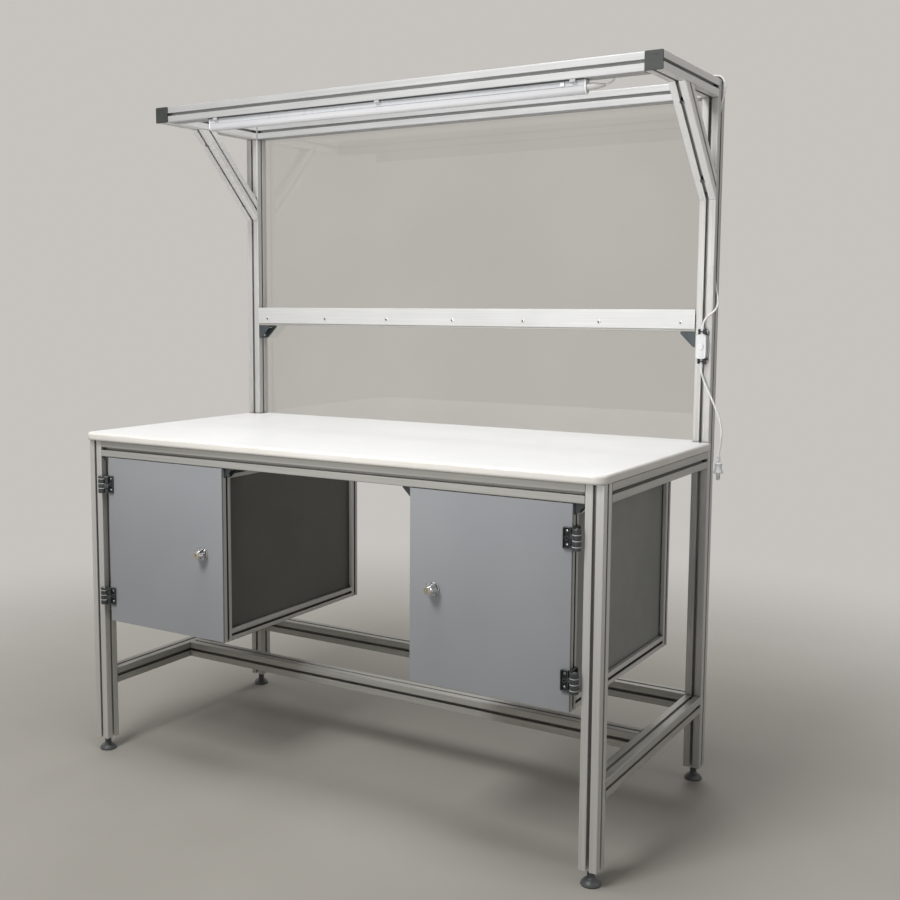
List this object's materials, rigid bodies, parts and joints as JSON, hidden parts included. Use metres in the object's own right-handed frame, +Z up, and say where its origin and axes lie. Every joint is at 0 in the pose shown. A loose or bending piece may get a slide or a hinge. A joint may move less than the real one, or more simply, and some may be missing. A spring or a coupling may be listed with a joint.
{
  "type": "workbench",
  "caption": "Slotted aluminium workbench with white top, hung door cabinets, braced canopy with strip lamp, clear back panel, hanging rail and levelling feet.",
  "frame": {"origin": "on the floor, under the middle of the bench's box without its free lead", "axes": "+X to the bench's right as seen by its user, +Y to the back, +Z up"},
  "size_m": [1.6135, 0.7916, 1.8886],
  "materials": {
    "slotted_bar": "satin anodised",
    "slim_bar": "satin anodised",
    "rail_strip": "satin anodised",
    "worktop_laminate": "white laminate on board, rounded edges",
    "clear_sheet": "clear, glossy",
    "bracket_paint": "dark slate, satin",
    "foot_paint": "dark grey coating on a cast pad with a steel stud",
    "grey_sheet": "grey sheet, satin",
    "door_sheet": "light grey sheet, satin",
    "knob_chrome": "polished",
    "hinge_plastic": "dark slate, satin",
    "lamp_white": "white",
    "lamp_lens": "opal diffuser",
    "button_grey": "light grey",
    "switch_white": "white",
    "cord_white": "white sheath",
    "plug_white": "white, moulded"
  },
  "bodies": {
    "bench": {"front_left_leg": "slotted_bar", "rear_left_post": "slotted_bar", "left_apron": "slotted_bar", "left_base_rail": "slotted_bar", "left_arm": "slotted_bar", "front_right_leg": "slotted_bar", "rear_right_post": "slotted_bar", "right_apron": "slotted_bar", "right_base_rail": "slotted_bar", "right_arm": "slotted_bar", "front_apron": "slotted_bar", "rear_apron": "slotted_bar", "worktop_bearer": "slotted_bar", "middle_stretcher": "slotted_bar", "rear_stretcher": "slotted_bar", "canopy_front_rail": "slotted_bar", "canopy_rear_rail": "slotted_bar", "hanging_crossbar": "slotted_bar", "left_brace": "slotted_bar", "right_brace": "slotted_bar", "hanging_rail": "rail_strip", "worktop": "worktop_laminate", "back_panel": "clear_sheet", "left_crossbar_bracket": "bracket_paint", "left_cabinet_frame": "slim_bar", "left_cabinet_inner_panel": "grey_sheet", "left_cabinet_outer_panel": "grey_sheet", "left_cabinet_back_panel": "grey_sheet", "left_cabinet_floor_panel": "grey_sheet", "left_lower_hinge_fixed_leaf": "hinge_plastic", "left_upper_hinge_fixed_leaf": "hinge_plastic", "right_crossbar_bracket": "bracket_paint", "right_cabinet_frame": "slim_bar", "right_cabinet_inner_panel": "grey_sheet", "right_cabinet_outer_panel": "grey_sheet", "right_cabinet_back_panel": "grey_sheet", "right_cabinet_floor_panel": "grey_sheet", "right_lower_hinge_fixed_leaf": "hinge_plastic", "right_upper_hinge_fixed_leaf": "hinge_plastic", "lamp_housing": "lamp_white", "lamp_diffuser": "lamp_lens", "switch_body": "switch_white", "lamp_lead": "cord_white", "plug_lead": "cord_white", "plug": "plug_white"},
    "left_door": {"left_door": "door_sheet", "left_lower_hinge_door_leaf": "hinge_plastic", "left_upper_hinge_door_leaf": "hinge_plastic"},
    "left_knob": {"left_knob": "knob_chrome"},
    "right_door": {"right_door": "door_sheet", "right_lower_hinge_door_leaf": "hinge_plastic", "right_upper_hinge_door_leaf": "hinge_plastic"},
    "right_knob": {"right_knob": "knob_chrome"},
    "front_left_foot": {"front_left_foot": "foot_paint"},
    "front_right_foot": {"front_right_foot": "foot_paint"},
    "rear_left_foot": {"rear_left_foot": "foot_paint"},
    "rear_right_foot": {"rear_right_foot": "foot_paint"},
    "lamp_button": {"lamp_button": "button_grey"},
    "switch_button": {"switch_button": "button_grey"}
  },
  "joints": [
    {"name": "left_door_hinge", "type": "hinge", "parent": "bench", "child": "left_door", "pos_m": [-0.7248, -0.3757, 0.6305], "axis": [0, 0, -1], "range_deg": [0, 180]},
    {"name": "left_knob_turn", "type": "hinge", "parent": "left_door", "child": "left_knob", "pos_m": [-0.3585, -0.3648, 0.6305], "axis": [0, -1, 0], "range_deg": [0, 90]},
    {"name": "right_door_hinge", "type": "hinge", "parent": "bench", "child": "right_door", "pos_m": [0.7248, -0.3757, 0.6305], "axis": [0, 0, 1], "range_deg": [0, 180]},
    {"name": "right_knob_turn", "type": "hinge", "parent": "right_door", "child": "right_knob", "pos_m": [0.3585, -0.3648, 0.6305], "axis": [0, 1, 0], "range_deg": [0, 90]},
    {"name": "front_left_foot_level", "type": "slide", "parent": "bench", "child": "front_left_foot", "axis": [0, 0, -1], "range_m": [0, 0.02]},
    {"name": "front_right_foot_level", "type": "slide", "parent": "bench", "child": "front_right_foot", "axis": [0, 0, -1], "range_m": [0, 0.02]},
    {"name": "rear_left_foot_level", "type": "slide", "parent": "bench", "child": "rear_left_foot", "axis": [0, 0, -1], "range_m": [0, 0.02]},
    {"name": "rear_right_foot_level", "type": "slide", "parent": "bench", "child": "rear_right_foot", "axis": [0, 0, -1], "range_m": [0, 0.02]},
    {"name": "lamp_button_press", "type": "slide", "parent": "bench", "child": "lamp_button", "axis": [0, 1, 0], "range_m": [0, 0.002], "stiffness_N_per_m": 800},
    {"name": "switch_button_press", "type": "slide", "parent": "bench", "child": "switch_button", "axis": [0, 1, 0], "range_m": [0, 0.002], "stiffness_N_per_m": 800}
  ]
}
